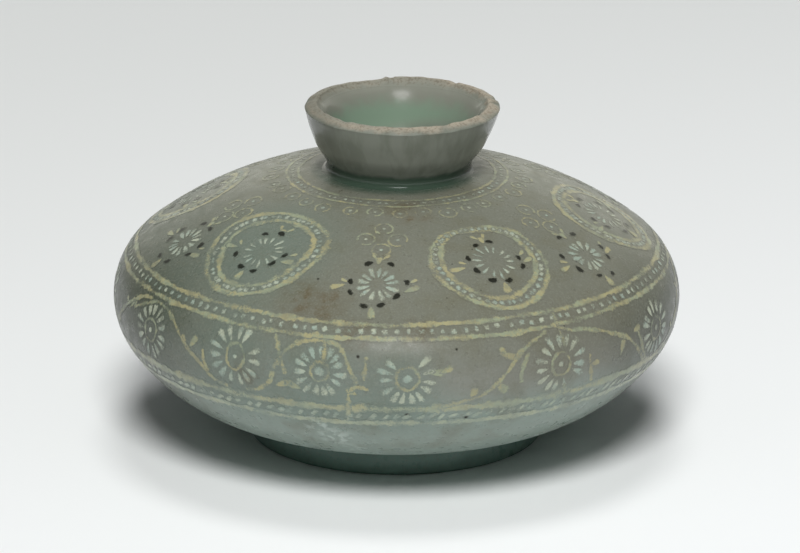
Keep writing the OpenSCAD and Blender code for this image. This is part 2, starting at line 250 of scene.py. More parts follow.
# Places across the pot between which its sides change tone, and heights where that starts and ends: painted
# shade darkens the left side and both edges, and the right side is warmer
left_shade = (-20, -40)
left_edge_shade = (-28, -44)
right_warm = (6, 26)
right_edge_shade = (30, 44)
belly_start = (20, 24)
shoulder_end = (36, 28)
# Green pool of the glaze round the neck: distances from the axis, and heights
pool_reach = (14.4, 12.4)
pool_start = (40, 42)


def glaze_colour(place):
    """Colour of the glaze over the whole pot, so that it runs on from piece to piece, with painted shade on
    its sides and painted bounce light low down.
    """
    z = along(place, "Z")
    x = along(place, "X")
    drift = cloud(place, 22) - 0.5
    patch = cloud(place, 5, 5)
    grain = cloud(place, 0.7, 3)
    colour = mixed(ease(z + drift * 10, *dome_to_belly), celadon_dome, celadon_belly)
    # Lighter and bluer low down: partly the glaze's own tone, partly painted bounce light from the table
    colour = mixed(ease(z + drift * 7, *belly_to_low), colour, celadon_low_and_bounce_light)
    colour = mixed(ease(patch, 0.45, 0.7) * 0.4, colour, celadon_olive)
    for spot in cool_spots:
        colour = mixed(wall_spot(place, *spot) * 0.6, colour, celadon_cool)
    # Painted shade: the left side of the pot is darker
    colour = mixed(ease(x + drift * 16, *left_shade) * 0.8, colour, celadon_left_painted_shade)
    warm = ease(x + drift * 20, *right_warm) * ease(z, *belly_start) * ease(z, *shoulder_end)
    colour = mixed(warm * 0.6, colour, celadon_warm)
    # Painted shade at both edges of the pot, where its sides turn away
    limb_painted_shade = ease(x + drift * 12, *left_edge_shade) + ease(x + drift * 12, *right_edge_shade)
    colour = mixed(limb_painted_shade * (ease(z, *shoulder_end) * 0.5 + 0.4), colour, painted_edge_shade)
    for spot in stains:
        stain = wall_spot(place, *spot) * (ease(cloud(place, 2.4, 5), 0.42, 0.68) * 0.5 + 0.14)
        colour = mixed(stain, colour, iron_brown)
    for spot in splashes:
        splash = wall_spot(place, *spot) * ease(cloud(place, 1.3, 4), 0.46, 0.6)
        colour = mixed(splash * 0.9, colour, slip_smear)
    pool = ease(reach_of(place) + drift * 1.5, *pool_reach) * ease(z, *pool_start)
    colour = mixed(pool * 0.9, colour, pool_green)
    # Painted bounce light from the table on the underside above the foot
    colour = mixed(ease(z + drift * 2, *low_to_painted_bounce) * 0.75, colour, painted_bounce_light)
    colour = mixed(ease(z + drift * 2, *painted_bounce_to_foot) * 0.85, colour, foot_green)
    colour = mixed(ease(grain, 0.5, 0.72) * 0.2, colour, celadon_olive)
    colour = mixed(ease(cloud(place, 0.32, 2), 0.45, 0.7) * 0.25, colour, celadon_pale)
    for spot in iron_specks:
        colour = mixed(wall_spot(place, *spot), colour, speck_dark)
    specks = place.add("ShaderNodeTexVoronoi", {}, {"Vector": place, "Scale": 0.28}, "Distance")
    return mixed(ease(specks, 0.05, 0.03) * 0.6, colour, speck_dark)


def glaze_roughness(place):
    """The glaze is partly matt, in patches of a millimetre or two."""
    return cloud(place, 1.6) * 0.4 + 0.12


def glaze_finish(material, place, colour, roughness):
    """The glassy coat over a colour, with the faint orange peel of the glaze."""
    peel = cloud(place, 1.1, 2) * 0.6 + cloud(place, 6, 2)
    normal = place.add("ShaderNodeBump", {}, {"Strength": 0.4, "Distance": 0.05 * MM, "Height": peel})
    coat = place.add("ShaderNodeBsdfPrincipled", {}, {
        "Base Color": colour, "Roughness": roughness, "IOR": 1.42, "Normal": normal})
    coat.add("ShaderNodeOutputMaterial", {}, {"Surface": coat})


glaze, glaze_place = new_material("celadon_glaze")
glaze_finish(glaze, glaze_place, glaze_colour(glaze_place), glaze_roughness(glaze_place))


def set_in_place(piece, node, material):
    """Dresses a piece and puts it in the node's place on the pot."""
    piece.data.materials.clear()
    piece.data.materials.append(material)
    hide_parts(node)
    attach(piece, "root")


bowl = turned("lower_body_glazed", [(0, foot_h)] + wall_line(floor_s, seam_s, wall_step)
              + wall_line(floor_s, seam_s, inner_step, -wall)[::-1] + [(0, foot_h + wall)])
set_in_place(bowl, "lower_body", glaze)

# Upper body: belly, shoulder and dome, with the hole for the neck.
# Stoneware, thrown as one piece and turned over onto the bowl. The inlay is cut and stamped in it.
hole_r = 8.42


def dome_s(r, depth=0):
    """Length along the wall to the place on the dome at a distance from the axis."""
    return shoulder_s + dome_r * (math.acos((r - dome_x) / (dome_r - depth)) - math.radians(shoulder_turn))


dome = turned("upper_body_glazed", wall_line(seam_s, dome_s(hole_r), wall_step)
              + wall_line(seam_s, dome_s(hole_r, wall), inner_step, -wall)[::-1])
set_in_place(dome, "upper_body", glaze)

# Foot ring: the low foot under the bowl.
# A ring of the same clay, turned with a slight lean and worn round at its edges.
foot_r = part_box("foot_ring")[1].x / MM
foot_w = 3.2
foot_lean = 0.5
foot_round = 0.5
foot_seat = 0.6
foot_in = foot_r - foot_w
foot_top = foot_h + foot_seat
foot = turned("foot_ring_glazed", [
    (foot_in, foot_round), (foot_in + foot_round, 0), (foot_r - foot_round, 0),
    (foot_r - foot_round / 4, foot_round / 4), (foot_r, foot_round),
    (foot_r - foot_lean * 0.7, foot_h * 0.6), (foot_r - foot_lean, foot_h),
    (foot_r - foot_lean - 0.4, foot_top), (foot_in - foot_lean, foot_top)])
set_in_place(foot, "foot_ring", glaze)

# Spur marks: three specks of quartz left in the bearing face.
# The pot stood on quartz chips in the kiln, and they broke off when it was lifted.
spur_r = 0.8
spur_z = 0.3
spur_flat = 0.34
spur_turns = (30, 150, 270)
# Waves of the broken faces, per metre across and along
spur_waves = (5200, 4100)
quartz, quartz_place = new_material("quartz_chip")
quartz_tone = mixed(cloud(quartz_place, 0.4), tone("cfc8b8"), tone("efece4"))
glaze_finish(quartz, quartz_place, quartz_tone, cloud(quartz_place, 0.3) * 0.3 + 0.5)
bpy.ops.object.select_all(action="DESELECT")
quartz_chips = []
for turn in spur_turns:
    dx, dy = polar(foot_r - foot_w / 2, turn)
    bpy.ops.mesh.primitive_ico_sphere_add(
        subdivisions=3, radius=spur_r * MM, location=(dx * MM, dy * MM, spur_z * MM))
    chip = bpy.context.object
    for vertex in chip.data.vertices:
        vertex.co.z *= spur_flat
        wave = math.sin(vertex.co.x * spur_waves[0] + turn) * math.cos(vertex.co.y * spur_waves[1])
        vertex.co *= 0.85 + 0.15 * wave
    quartz_chips.append(chip)
for chip in quartz_chips:
    chip.select_set(True)
bpy.ops.object.join()
bpy.ops.object.transform_apply(location=True, rotation=True, scale=True)
spurs = bpy.context.object
spurs.name = "spur_marks_quartz"
set_in_place(spurs, "spur_marks", quartz)

# Neck: the small funnel mouth, with a straight throat and a spigot keyed into the dome.
# Thrown separately and luted on; the glaze is worn off its lip, and pools green in the cup.
lip_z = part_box("neck")[1].z / MM
mouth_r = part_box("neck")[1].x / MM
neck_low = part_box("neck")[0].z / MM
throat_r = 6
spigot_w = 2.4
lip_w = 2
cup_z = 43.9
spigot_top = 42.3
skirt_under = (12, 42.2)
# The neck stands a little to the right of the axis, leans on to the right, and its lip rises to the back
neck_root = 43
root_shift = 0.25
lean = 0.05
back_rise = 0.0011
# Outside of the neck from the dome up to the lip, distance from the axis and height
neck_side = [(12.3, 42.95), (11.8, 43.2), (11.52, 43.6), (11.45, 44.2), (11.6, 44.9), (12.1, 45.7),
             (12.75, 46.6), (13.36, 47.6), (13.78, 48.6), (14.55, 50.5), (15.0, 51.9), (15.3, 53)]
# How far down from the lip the wear reaches, and how uneven the lip is
wear_reach = 1.8
lip_waver = 0.06
# Chips of the lip: azimuth, reach in degrees and depth of each
chips = [(-172, 3, 0.2), (144, 4, 0.35), (104, 4.5, 0.45), (92, 3, 0.3),
         (-98, 6, 0.3), (-40, 5, 0.15), (28, 6, 0.15), (62, 4, 0.2)]
# A longer break at the back: azimuth where it starts and ends, its depth, and the degrees of its two slopes
lip_break = (-169, -128, 0.36, 2, 25)


def smooth_line(points, count):
    """A soft curve through given points, count steps from each to the next."""
    ends = [points[0]] + list(points) + [points[-1]]
    line = []
    for a, b, c, d in zip(ends, ends[1:], ends[2:], ends[3:]):
        for k in range(count):
            t = k / count
            line.append(tuple(0.5 * (2 * q + (r - p) * t + (2 * p - 5 * q + 4 * r - s) * t * t
                                     + (3 * q - p - 3 * r + s) * t ** 3) for p, q, r, s in zip(a, b, c, d)))
    return line + [tuple(points[-1])]


cup_r = mouth_r - lip_w
cup_top = lip_z - 0.35
lip = [(mouth_r, lip_z - 0.85), (mouth_r - 0.15, lip_z - 0.62), (mouth_r - 0.6, lip_z - 0.34),
       (mouth_r - 1.2, lip_z - 0.1), (cup_r + 0.4, lip_z), (cup_r + 0.1, lip_z - 0.12)]
# The cup flares at the lip, runs steeply down and rounds in to the throat: place across and up, as shares
cup_shares = [(1, 1), (0.9, 0.924), (0.82, 0.842), (0.755, 0.75), (0.7, 0.65), (0.65, 0.54), (0.6, 0.42),
              (0.545, 0.3), (0.47, 0.19), (0.35, 0.09), (0.2, 0.03), (0, 0)]
cup = [(throat_r + (cup_r - throat_r) * across, cup_z + (cup_top - cup_z) * up)
       for across, up in cup_shares]
neck_points = smooth_line(neck_side, 4)[:-1] + smooth_line(lip, 4) + smooth_line(cup, 3) + [
    (throat_r, neck_low), (throat_r + spigot_w, neck_low), (throat_r + spigot_w, spigot_top), skirt_under]
neck = turned("neck_glazed", neck_points)
for vertex in neck.data.vertices:
    x, y, z = vertex.co / MM
    az = math.degrees(math.atan2(x, -y))
    share = max(0, z - lip_z + wear_reach) / wear_reach
    for spot, reach, depth in chips:
        z -= share * depth * max(0, 1 - ((az - spot + 180) % 360 - 180) ** 2 / reach ** 2)
    start, end, depth, start_slope, end_slope = lip_break
    z -= share * depth * max(0, min(1, (az - start) / start_slope, (end - az) / end_slope))
    z -= share * lip_waver * (1 + math.sin(math.radians(7 * az)) * math.sin(math.radians(23 * az)))
    rise = max(0, z - neck_root)
    vertex.co = Vector((x + min(rise, root_shift) + lean * rise, y, z + back_rise * y * rise)) * MM
neck_grey = tone("7c8076")
neck_streak = tone("676b60")
neck_painted_shade = tone("57584e")
cup_grey = tone("84867b")
cup_green = tone("7f9682")
bare_clay = tone("a09888")
rust_brown = tone("665a4a")
# Heights between which the tones of the neck pass into each other
root_pool = (45.9, 45)
cup_pool = (53.8, 50.6)
lip_bare = (53.9, 54.8)
lip_rust = (53.3, 54.2)
lip_matt = (52.9, 53.4)
# The cup lies inside a cone: its level, its slant, and the distances from the axis where it begins
cone_level = 54
cone_slant = 0.55
cone_edge = (14.3, 13.6)
# Places across where painted shade darkens the left side of the neck
neck_left_shade_reach = (-7, -15)
bare_lip, lip_place = new_material("neck_glaze_worn_lip")
lip_height = along(lip_place, "Z")
lip_wear = cloud(lip_place, 2.2, 4)
lip_reach = reach_of(lip_place)
streaks = lip_place.add("ShaderNodeVectorMath", {"operation": "MULTIPLY"}, {0: lip_place, 1: (1, 1, 0.12)})
inside = ease(lip_reach + (cone_level - lip_height) * cone_slant, *cone_edge)
neck_tone = mixed(ease(cloud(streaks, 2.2, 4), 0.4, 0.65) * 0.6, neck_grey, neck_streak)
neck_tone = mixed(ease(lip_height + lip_wear * 0.8, *root_pool), neck_tone, pool_green)
neck_tone = mixed(inside, neck_tone, cup_grey)
neck_tone = mixed(inside * ease(lip_height + lip_wear * 3, *cup_pool) * 0.85, neck_tone, cup_green)
worn = ease(lip_height + lip_wear * 1.6, *lip_bare) * (1 - inside * 0.6)
neck_tone = mixed(worn, neck_tone, bare_clay)
rust = ease(cloud(lip_place, 0.4, 4), 0.48, 0.64) * ease(lip_height + lip_wear, *lip_rust)
neck_tone = mixed(rust * 0.5, neck_tone, rust_brown)
# Painted shade on the left side of the neck
neck_tone = mixed(ease(along(lip_place, "X"), *neck_left_shade_reach) * 0.5, neck_tone, neck_painted_shade)
neck_roughness = ease(lip_height, *lip_matt) * 0.35 + cloud(lip_place, 4) * 0.2 + 0.1
glaze_finish(bare_lip, lip_place, neck_tone, neck_roughness)
set_in_place(neck, "neck", bare_lip)

# Collar: two fine lines round the neck with a row of dots between them.
# The lines are cut with a point and filled with pale clay, the dots are stamped and filled.
mark_lift = 0.025
mark_depth = 0.14
mark_crease = 40
# A cut is a strip on the wall: points across it and the middle one, and the steps of a line all round
strip_points = 5
strip_middle = 2
strip_weld = 0.005
line_steps = 480
collar_r = 15.6
collar_w = 1.9
collar_dots = 72
hand = random.Random(11)


def set_fade(mesh, values):
    """How far each point lies inside a mark's outline: 0 on it, 1 inside."""
    mesh.attributes.new("fade", "FLOAT", "POINT").data.foreach_set("value", values)


# Low on the pot the slip turns greener, between these heights
slip_green = tone("bcc5b0")
slip_greening = (21, 15)


def slip_material(name, colour, other, thin, greening):
    """Inlaid clay under the glaze: patchy, thin at its edges, with the glaze's own colour round it."""
    material, place = new_material(name)
    fade = place.add("ShaderNodeAttribute", {"attribute_name": "fade"}, {}, "Fac")
    crumble = (cloud(place, 0.9, 3) - 0.5) * 1.2 + (cloud(place, 0.3, 2) - 0.5) * 1.6
    cover = ease(fade + crumble, 0.1, 1)
    cover = cover * (ease(cloud(place, 1.9, 4), 0.32, 0.6) * (1 - thin) + thin)
    clay = mixed(ease(cloud(place, 6, 3) + (cloud(place, 0.5, 3) - 0.5) * 0.7, 0.35, 0.65), colour, other)
    clay = mixed(ease(along(place, "Z"), *slip_greening) * greening, clay, slip_green)
    glaze_finish(material, place, mixed(cover * 0.9, glaze_colour(place), clay), glaze_roughness(place))
    return material


slips = {
    "white_slip": slip_material("white_slip_under_glaze", tone("98a89b"), tone("b1b7a2"), 0.55, 0.4),
    "buff_slip": slip_material("buff_slip_under_glaze", tone("a39d76"), tone("929a80"), 0.5, 0.6),
    "black_slip": slip_material("black_slip_under_glaze", tone("0b0c08"), tone("14150f"), 1, 0),
}


def gather(node, marks, slip):
    """Joins the marks of one kind and gives them their thickness, down into the wall."""
    bpy.ops.object.select_all(action="DESELECT")
    for mark in marks:
        mark.select_set(True)
    bpy.context.view_layer.objects.active = marks[0]
    bpy.ops.object.join()
    piece = bpy.context.object
    piece.name = node + "_inlay"
    thickness = piece.modifiers.new("depth", "SOLIDIFY")
    thickness.thickness = mark_depth * MM
    thickness.offset = -1
    bpy.ops.object.modifier_apply(modifier="depth")
    bpy.ops.object.shade_smooth_by_angle(angle=math.radians(mark_crease))
    set_in_place(piece, node, slips[slip])


def stroke(points, width, strength=1, closed=False):
    """A cut along given places, azimuth and s, as a strip on the wall with an uneven width."""
    line = points if closed else smooth_line(points, 8)
    rows = len(line)
    bpy.ops.object.select_all(action="DESELECT")
    bpy.ops.mesh.primitive_grid_add(x_subdivisions=strip_points - 1, y_subdivisions=rows - 1, size=2)
    strip = bpy.context.object
    beat = hand.uniform(0, 6)
    fades = []
    for k, (az, s) in enumerate(line):
        before = line[k - 1 if k or closed else 0]
        after = line[(k + 1) % rows if closed else min(k + 1, rows - 1)]
        if closed and k in (0, rows - 1):
            before, after = line[-2], line[1]
        r = wall_point(s)[0]
        turn = (after[0] - before[0] + 180) % 360 - 180
        dx, dy = math.radians(turn) * r, after[1] - before[1]
        size = math.hypot(dx, dy)
        end = 1 if closed else min(1, 0.5 + min(k, rows - 1 - k) / 4)
        wobble = math.sin(k * 0.9 + beat) * 0.16 + math.sin(k * 0.37 + 2 * beat) * 0.2
        half = width / 2 * end * (1 + wobble)
        wear = strength * (0.9 + 0.28 * math.sin(k * 0.13 + beat) + 0.18 * math.sin(k * 0.71 + 3 * beat))
        rough = [hand.uniform(-0.22, 0.22) * half for side in range(2)]
        for j in range(strip_points):
            across = half * (j / strip_middle - 1) + rough[j > strip_middle]
            spot = (az + math.degrees(across * dy / size / r), s - across * dx / size)
            joined = closed and k == rows - 1
            point = strip.data.vertices[k * strip_points + j]
            point.co = strip.data.vertices[j].co if joined else on_wall(*spot, mark_lift)
            edge = j in (0, strip_points - 1) or (not closed and k in (0, rows - 1))
            inner = fades[j] if joined else wear * (1.1 - 0.4 * abs(j - strip_middle))
            fades.append(0.0 if edge else inner)
    set_fade(strip.data, fades)
    if closed:
        bpy.ops.object.mode_set(mode="EDIT")
        bpy.ops.mesh.select_all(action="SELECT")
        bpy.ops.mesh.remove_doubles(threshold=strip_weld * MM)
        bpy.ops.object.mode_set(mode="OBJECT")
    return strip


def band_line(s, width, waver, strength=1):
    """A line cut all round the pot, a little uneven as the hand left it."""
    beat = hand.uniform(0, 6)
    path = []
    for k in range(line_steps + 1):
        turn = math.tau * k / line_steps
        sway = math.sin(7 * turn + beat) + 0.6 * math.sin(19 * turn + 2 * beat) + 0.4 * math.sin(43 * turn)
        path.append((360 * k / line_steps, s + waver * sway / 2))
    return stroke(path, width, strength, closed=True)


def stamp(name, rim):
    """The face of a stamp, a flat disc of radius 1 with an inner ring, for the marks to be copied from."""
    bpy.ops.object.select_all(action="DESELECT")
    bpy.ops.mesh.primitive_circle_add(vertices=rim, radius=1, fill_type="NGON")
    disc = bpy.context.object
    disc.name = name
    bpy.ops.object.mode_set(mode="EDIT")
    bpy.ops.mesh.select_all(action="SELECT")
    bpy.ops.mesh.inset(thickness=0.42, depth=0)
    bpy.ops.mesh.poke()
    bpy.ops.object.mode_set(mode="OBJECT")
    set_fade(disc.data, [1.1 - 1.1 * min(1, v.co.length) ** 2 for v in disc.data.vertices])
    return disc


def pressed(face, az, s, x=0, y=0, turn=0, wide=1, long=1, strength=1, lift=mark_lift):
    """A copy of a stamp's face on the wall, x and y from a place there, turned clockwise."""
    mark = face.copy()
    mark.data = face.data.copy()
    bpy.context.collection.objects.link(mark)
    cos, sin = polar(1, turn)
    for vertex in mark.data.vertices:
        u, v = vertex.co.x * wide, vertex.co.y * long
        across, up = x + u * cos + v * sin, y - u * sin + v * cos
        r = wall_point(s + up)[0]
        vertex.co = on_wall(az + math.degrees(across / r), s + up, lift)
    for point in mark.data.attributes["fade"].data:
        point.value *= strength
    return mark


dot_face = stamp("dot_face", 10)
bead_face = stamp("bead_face", 8)
for vertex in bead_face.data.vertices:
    vertex.co *= 1 - 0.1 * math.cos(4 * math.atan2(vertex.co.y, vertex.co.x))
# Each line of the collar: distance from the axis, width, waver and strength
collar_lines = {"inner": (collar_r, 0.65, 0.12, 0.9), "outer": (collar_r + collar_w, 0.6, 0.14, 0.85)}
for line, (r, width, waver, strength) in collar_lines.items():
    gather("collar_" + line + "_line", [band_line(dome_s(r), width, waver, strength)], "buff_slip")
collar_s = dome_s(collar_r + collar_w / 2)
collar_marks = []
for k in range(collar_dots):
    spot = 360 * k / collar_dots + hand.uniform(-1, 1)
    size = hand.uniform(0.3, 0.46)
    strength = hand.uniform(0.5, 0.9)
    collar_marks.append(pressed(dot_face, spot, collar_s, wide=size, long=size, strength=strength))
gather("collar_beads", collar_marks, "white_slip")

# Cloud scroll: a row of curls below the collar, each round a dot.
# Each curl is almost one turn of a fine groove, drawn in the clay and filled with pale clay.
cloud_r = 19.7
cloud_count = 32
cloud_line_w = 0.46
cloud_eye_r = 0.42
cloud_sweep = 310
curl_steps = 9


def curl(az, s, x, y, radius, width, start, sweep, strength):
    """An open ring of clay round a place."""
    path = []
    for k in range(curl_steps):
        dx, dy = polar(radius, start + sweep * k / (curl_steps - 1))
        r = wall_point(s + y + dy)[0]
        path.append((az + math.degrees((x + dx) / r), s + y + dy))
    return stroke(path, width, strength)


cloud_s = dome_s(cloud_r)
cloud_marks = []
cloud_eyes = []
for k in range(cloud_count):
    spot = 360 * k / cloud_count + hand.uniform(-1.5, 1.5)
    rise = hand.uniform(-0.5, 0.5)
    radius = hand.uniform(1.05, 1.4)
    opening = 90 + 180 * (k % 2) + hand.uniform(-40, 40)
    strength = hand.uniform(0.4, 0.8)
    cloud_marks.append(curl(spot, cloud_s, 0, rise, radius, cloud_line_w,
                            opening + 20, cloud_sweep, strength))
    strength = hand.uniform(0.5, 0.9)
    cloud_eyes.append(pressed(dot_face, spot, cloud_s, 0, rise, 0, cloud_eye_r, cloud_eye_r, strength))
gather("cloud_curls", cloud_marks, "buff_slip")
gather("cloud_dots", cloud_eyes, "white_slip")

# Roundels and free flowers: chrysanthemums round the dome, every second one in a double ring.
# Petals and leaves are stamped and filled with white and black clay, rings and sprigs are cut and filled.
# Each roundel: azimuth, s, half width and half height of its outer ring, the same of its inner ring,
# then azimuth and s of its flower
roundels = [((-40.75, 20.55, 10, 9.2), (-40.2, 20.5, 7.6, 7.5), (-40, 20.4)),
            ((26.6, 19.6, 9.3, 8.7), (26.3, 20.3, 7.6, 7.5), (27.6, 20.2))]
roundels += [((az, 19.6, 9, 8.6), (az, 19.6, 7.1, 6.8), (az, 19.6)) for az in (84, 143, 203, 258)]
# Each free flower: azimuth and s
flowers = [(-4.8, 16.8), (56, 16.5), (114, 16.8), (174, 16.8), (234, 16.8), (292, 16.2)]
roundel_bead_n = 46
roundel_line_w = 1.3
roundel_steps = 96
# Petals: distances of their ends from the middle, number and width
roundel_petals = (1.6, 3.8, 14, 1.05)
flower_petals = (1, 3.6, 13, 1.65)
# A petal that stands within so many degrees of a lost one is left out
petal_gap = 12
leaf_half_w = 0.86
leaf_half_l = 0.56
# Leaves and sprigs lie over what they cross, and are filled well
leaf_lift = mark_lift + 0.012
sprig_lift = mark_lift + 0.006
bold = 1.3


def round_path(az, s, half_w, half_h, count, waver):
    """A closed path round a place, with a slightly uneven hand."""
    beat = hand.uniform(0, 6)
    path = []
    for k in range(count + 1):
        turn = 360 * k / count
        shake = math.sin(math.radians(3 * turn) + beat) + math.sin(math.radians(5 * turn) + 2 * beat)
        dx, dy = polar(1 + waver * shake, turn)
        up = s + half_h * dy
        path.append((az + math.degrees(half_w * dx / wall_point(up)[0]), up))
    return path


petal_face = stamp("petal_face", 12)
for vertex in petal_face.data.vertices:
    vertex.co.x *= 0.57 + 0.43 * vertex.co.y
    vertex.co.y = math.copysign(abs(vertex.co.y) ** 0.8, vertex.co.y)
leaf_face = stamp("leaf_face", 12)
for vertex in leaf_face.data.vertices:
    vertex.co.y += 0.35 * (1 - vertex.co.x ** 2) - 0.2


def petal_ring(az, s, inner, outer, count, wide, gaps=()):
    """Petals round the middle of a flower, each with its own slight lean and length."""
    petals = []
    for k in range(count):
        turn = 360 * k / count + hand.uniform(-4, 4)
        if any(abs((turn - gap + 180) % 360 - 180) < petal_gap for gap in gaps):
            continue
        length = (outer - inner) * hand.uniform(0.8, 1.05)
        up, across = polar(inner + length / 2, turn)
        width = wide * hand.uniform(0.8, 1.1)
        strength = hand.uniform(0.7, 1.15)
        petals.append(pressed(petal_face, az, s, across, up, turn, width / 2, length / 2, strength))
    return petals


# Leaves of the flowers in front, by the flower's azimuth: across and up from its middle
leaf_places = {
    -4.8: [(-1.65, 4.2), (1.7, 4.2), (-3.9, 0.3), (-3.9, -1.8),
           (4.3, 0.4), (3.05, -2.3), (-1.8, -4.3), (0.9, -4)],
    -40: [(-2.3, 3.5), (0.2, 4.5), (4.1, 0.2), (3.2, -1.9),
          (-4.2, -2), (-1.4, -3.9), (1, -4.1)],
    27.6: [(-1.25, 3.9), (1.3, 4.3), (-3.85, 1.3), (-3.7, -1.4),
           (4.2, -0.2), (4.2, -2), (-2, -3.7), (0.7, -4.2)],
    56: [(-0.9, 4.9), (2.4, 4.4), (-4.6, 1.5), (-4.1, -1.8),
         (4.9, 0.1), (4, -1.9), (-1.65, -4), (1.5, -4.7)],
}
# The other flowers have two leaves at each side
side_leaves = [(-1.5, 4.2), (1.5, 4.2), (-4.2, 1), (-4.2, -1.4),
               (4.3, 1), (4.2, -1.4), (-1.5, -4.2), (1.5, -4.2)]


def flower_leaves(az, s):
    """The black leaves round a flower, each lying across the way to its middle."""
    leaves = []
    for across, up in leaf_places.get(az, side_leaves):
        across += hand.uniform(-0.2, 0.2)
        turn = math.degrees(math.atan2(across, up)) + hand.uniform(-25, 25)
        size = hand.uniform(0.85, 1.15)
        leaves.append(pressed(leaf_face, az, s, across, up, turn,
                              leaf_half_w * size, leaf_half_l * size, bold, leaf_lift))
    return leaves


# Leaves of the sprigs: across and up from the middle, turn, half width and half length
sprig_leaves = [
    (0, 4.9, 0, 1, 0.9), (-0.9, 5.7, -35, 0.55, 0.9), (0.9, 5.7, 35, 0.55, 0.9),
    (-6.2, -0.8, -106, 0.85, 1.5), (-5.2, 0.4, -60, 0.6, 0.8),
    (5.4, -1, 75, 1, 1.35), (5.3, 0.6, 50, 0.6, 0.8),
    (-0.6, -5.5, 184, 1.15, 1.2),
]


def sprigs(az, s):
    """The pale sprigs between the leaves: a fork on top, arrow leaves at the sides, a drop below."""
    marks = []
    for across, up, turn, wide, long in sprig_leaves:
        across += hand.uniform(-0.2, 0.2)
        size = hand.uniform(0.9, 1.1)
        turn += hand.uniform(-12, 12)
        marks.append(pressed(petal_face, az, s, across, up, turn,
                             wide * size, long * size, bold, sprig_lift))
    return marks


outer_rings = []
inner_rings = []
ring_beads = []
ring_petals = []
ring_leaves = []
ring_sprigs = []
for outer, inner, middle in roundels:
    outer_rings.append(stroke(round_path(*outer, roundel_steps, 0.012), roundel_line_w, closed=True))
    inner_rings.append(stroke(round_path(*inner, roundel_steps, 0.014), roundel_line_w, closed=True))
    az, s, half_w, half_h = [(a + b) / 2 for a, b in zip(outer, inner)]
    for k in range(roundel_bead_n):
        dx, dy = polar(1, 360 * k / roundel_bead_n + hand.uniform(-2, 2))
        size = hand.uniform(0.46, 0.66)
        turn = hand.uniform(0, 90)
        strength = hand.uniform(0.5, 0.95)
        ring_beads.append(pressed(bead_face, az, s, dx * half_w, dy * half_h, turn, size, size, strength))
    ring_petals += petal_ring(*middle, *roundel_petals)
    ring_leaves += flower_leaves(*middle)
    ring_sprigs += sprigs(*middle)
gather("roundel_outer_rings", outer_rings, "buff_slip")
gather("roundel_inner_rings", inner_rings, "buff_slip")
gather("roundel_beads", ring_beads, "white_slip")
gather("roundel_petals", ring_petals, "white_slip")
gather("roundel_leaves", ring_leaves, "black_slip")
gather("roundel_sprigs", ring_sprigs, "buff_slip")
free_petals = []
free_leaves = []
free_sprigs = []
pendant_marks = []
pendant_eyes = []
# Curls above a free flower: places across and up from its middle, and the opening's side
pendant_spots = [(0, 7.4, 90), (-2.3, 9.8, 40), (2.3, 9.8, 140), (0, 12.6, 90)]
pendant_line_w = 0.5
pendant_eye_r = 0.34
pendant_sweep = 320
for az, s in flowers:
    free_petals += petal_ring(az, s, *flower_petals)
    free_leaves += flower_leaves(az, s)
    free_sprigs += sprigs(az, s)
    for across, up, opening in pendant_spots:
        shift = hand.uniform(-0.3, 0.3)
        radius = hand.uniform(1.2, 1.5)
        strength = hand.uniform(0.6, 0.9)
        pendant_marks.append(curl(az, s, across + shift, up, radius, pendant_line_w,
                                  opening + 200, pendant_sweep, strength))
        pendant_eyes.append(pressed(dot_face, az, s, across + shift, up, 0, pendant_eye_r, pendant_eye_r))
gather("flower_petals", free_petals, "white_slip")
gather("flower_leaves", free_leaves, "black_slip")
gather("flower_sprigs", free_sprigs, "buff_slip")
gather("pendant_curls", pendant_marks, "buff_slip")
gather("pendant_dots", pendant_eyes, "white_slip")

# Shoulder and base bands: two lines each, with a row of beads between them.
# The lines are cut while the pot turns, the beads are stamped one by one and filled.
band_beads = 150
band_waver = 0.16
band_strength = 1.05
# Each band: s and width of its upper and lower line, then the slant and half length of its beads
bands = {"shoulder": (9.15, 1.1, 6.75, 1, 0, 0.6), "base": (-4.6, 1.7, -7.8, 1.5, 50, 1.05)}
for band, (upper, upper_w, lower, lower_w, slant, bead_l) in bands.items():
    gather(band + "_upper_line", [band_line(upper, upper_w, band_waver, band_strength)], "buff_slip")
    gather(band + "_lower_line", [band_line(lower, lower_w, band_waver, band_strength)], "buff_slip")
    beads = []
    for k in range(band_beads):
        spot = 360 * k / band_beads + hand.uniform(-0.5, 0.5)
        rise = (upper + lower) / 2 + hand.uniform(-0.15, 0.15)
        turn = slant + hand.uniform(-20, 20)
        wide = hand.uniform(0.44, 0.66)
        long = bead_l * hand.uniform(0.83, 1.17)
        strength = hand.uniform(0.55, 1)
        beads.append(pressed(bead_face, spot, rise, 0, 0, turn, wide, long, strength))
    gather(band + "_beads", beads, "white_slip")

# Frieze: flowers and a vine round the belly.
# Flowers are stamped and filled with white, the vine and its leaves are cut freehand.
# Each flower: azimuth, s, radius, half width and half height of its ring, radius of its eye,
# and the directions where petals are lost
frieze = [
    (-58, 1.2, 4.5, 1.7, 1.8, 0.55, ()), (-33.2, 1.7, 4.8, 1.6, 2.1, 0.45, (45,)),
    (-15, 1.3, 4.2, 1.4, 1.5, 0.95, ()), (2.2, 0.7, 4.6, 1.75, 1.8, 0.9, (0, 20, 340)),
    (34, 0.6, 4.8, 1.7, 1.8, 0.6, (140,)), (64, 0.6, 4.5, 1.7, 1.8, 0.6, ()),
]
# Round the back the flowers are even: azimuth of the first, degrees from one to the next, s and number
back_first = 92
back_pitch = 26
back_s = 0.9
back_count = 8
frieze += [(back_first + back_pitch * k, back_s, 4.5, 1.7, 1.8, 0.6, ()) for k in range(back_count)]
frieze_petal_n = 15
frieze_petal_w = 1.95
frieze_ring_w = 0.7
frieze_ring_steps = 28
vine_w = 0.9
